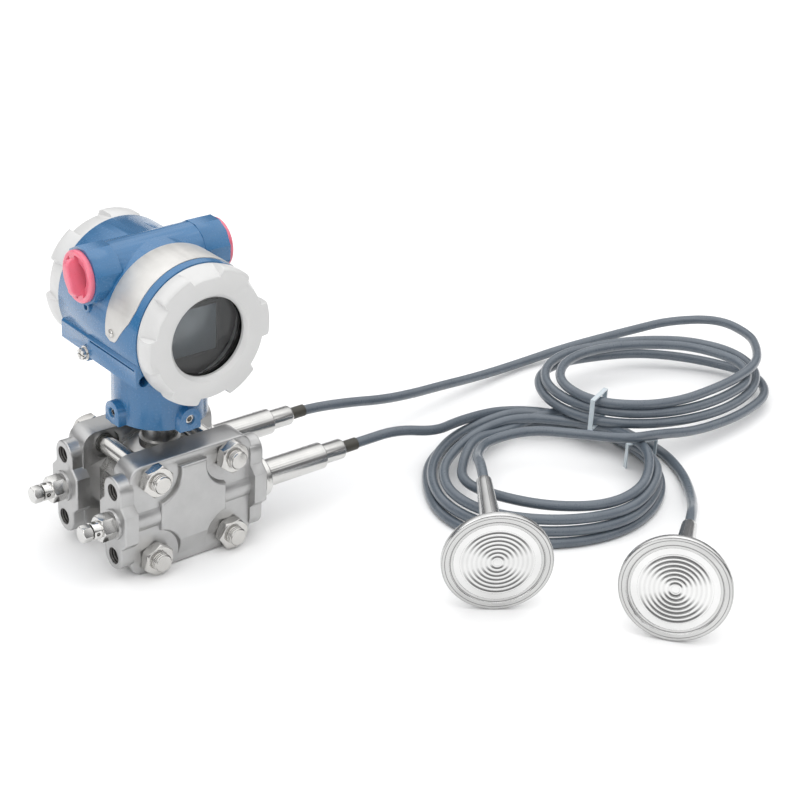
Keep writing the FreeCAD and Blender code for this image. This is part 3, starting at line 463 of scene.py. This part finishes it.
def cord_object(name, pts, d):
    cu = bpy.data.curves.new(name, "CURVE")
    cu.dimensions = "3D"
    sp = cu.splines.new("NURBS")
    sp.points.add(len(pts) - 1)
    for q, p in zip(sp.points, pts):
        q.co = (*p, 1.0)
    sp.order_u = 3
    sp.use_endpoint_u = True
    sp.resolution_u = 8
    cu.bevel_depth = d / 2.0
    cu.bevel_resolution = 6
    cu.use_fill_caps = True
    ob = bpy.data.objects.new(name, cu)
    bpy.context.scene.collection.objects.link(ob)
    ob.data.materials.append(M_CORD)
    return ob


def spline_length(ob):
    cu = ob.data.copy()
    cu.bevel_depth = 0.0
    tmp = bpy.data.objects.new("tmp", cu)
    me = bpy.data.meshes.new_from_object(tmp)
    co = [v.co.copy() for v in me.vertices]
    L = sum((co[i + 1] - co[i]).length for i in range(len(co) - 1))
    bpy.data.objects.remove(tmp)
    bpy.data.meshes.remove(me)
    return L, co


rear = cord_object("capillary_rear", REAR_ROUTE, CORD_D)
front = cord_object("capillary_front", FRONT_ROUTE, CORD_D)
L_REAR, P_REAR = spline_length(rear)
L_FRONT, P_FRONT = spline_length(front)
print("cord lengths", round(L_REAR, 3), round(L_FRONT, 3))
for ob, L, cad, ex in (
        (rear, L_REAR, ("capillary_rear_lead", "capillary_rear_coil", "capillary_rear_tail"), REAR_ROUTE[0]),
        (front, L_FRONT, ("capillary_front_lead", "capillary_front_coil", "capillary_front_tail"), FRONT_ROUTE[0])):
    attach(ob, "process_unit")
    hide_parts(*cad)


# =====================================================================
# stage, light, camera
# =====================================================================
def stage_floor():
    me = bpy.data.meshes.new("floor")
    bm = bmesh.new()
    s = 9.0
    vs = [bm.verts.new((x * s, y * s, 0.0)) for x, y in ((-1, -1), (1, -1), (1, 1), (-1, 1))]
    bm.faces.new(vs)
    bm.to_mesh(me)
    bm.free()
    ob = bpy.data.objects.new("floor", me)
    bpy.context.scene.collection.objects.link(ob)
    k = Mat("floor_white")
    k.set(Base_Color=(0.95, 0.95, 0.95, 1), Roughness=0.75, Specular_IOR_Level=0.2)
    ob.data.materials.append(k.m)
    return ob


stage_floor()

world = bpy.data.worlds.new("studio")
bpy.context.scene.world = world
world.use_nodes = True
wt = world.node_tree
wt.nodes.clear()
wo = wt.nodes.new("ShaderNodeOutputWorld")
bg = wt.nodes.new("ShaderNodeBackground")
tc = wt.nodes.new("ShaderNodeTexCoord")
sx = wt.nodes.new("ShaderNodeSeparateXYZ")
rp = wt.nodes.new("ShaderNodeValToRGB")
wt.links.new(tc.outputs["Generated"], sx.inputs[0])
wt.links.new(sx.outputs[2], rp.inputs[0])
rp.color_ramp.elements[0].position = 0.25
rp.color_ramp.elements[0].color = (0.13, 0.13, 0.135, 1)
rp.color_ramp.elements[1].position = 0.66
rp.color_ramp.elements[1].color = (1.0, 1.0, 1.0, 1)
wt.links.new(rp.outputs[0], bg.inputs[0])
bg.inputs[1].default_value = 1.5
wt.links.new(bg.outputs[0], wo.inputs[0])


def area(name, loc, target, size, power, size_y=None):
    li = bpy.data.lights.new(name, "AREA")
    li.energy = power
    li.shape = "RECTANGLE"
    li.size = size
    li.size_y = size_y or size
    ob = bpy.data.objects.new(name, li)
    ob.location = loc
    d = Vector(target) - Vector(loc)
    ob.rotation_euler = d.to_track_quat("-Z", "Y").to_euler()
    bpy.context.scene.collection.objects.link(ob)
    return ob


area("key_top", (0.05, -0.15, 1.5), (0.15, -0.05, 0.05), 0.9, 2.5)
area("side_left", (-1.3, -0.4, 0.7), (0.1, -0.05, 0.08), 0.7, 3.2, 0.8)

cam = bpy.data.cameras.new("camera")
cam.sensor_width = 36.0
cam.lens = 1978.8 * 36.0 / 800.0
cam.clip_start = 0.05
cam.clip_end = 20.0
camo = bpy.data.objects.new("camera", cam)
right = Vector((0.773851, -0.631459, 0.049138))
up = Vector((0.250409, 0.37629, 0.892021))
back = Vector((-0.581764, -0.677986, 0.449316))
m = Matrix.Identity(4)
for i in range(3):
    m[i][0], m[i][1], m[i][2] = right[i], up[i], back[i]
m[0][3], m[1][3], m[2][3] = -0.5562996, -0.8608495, 0.6085336
camo.matrix_world = m
bpy.context.scene.collection.objects.link(camo)
bpy.context.scene.camera = camo
bpy.context.scene.view_settings.view_transform = "Standard"
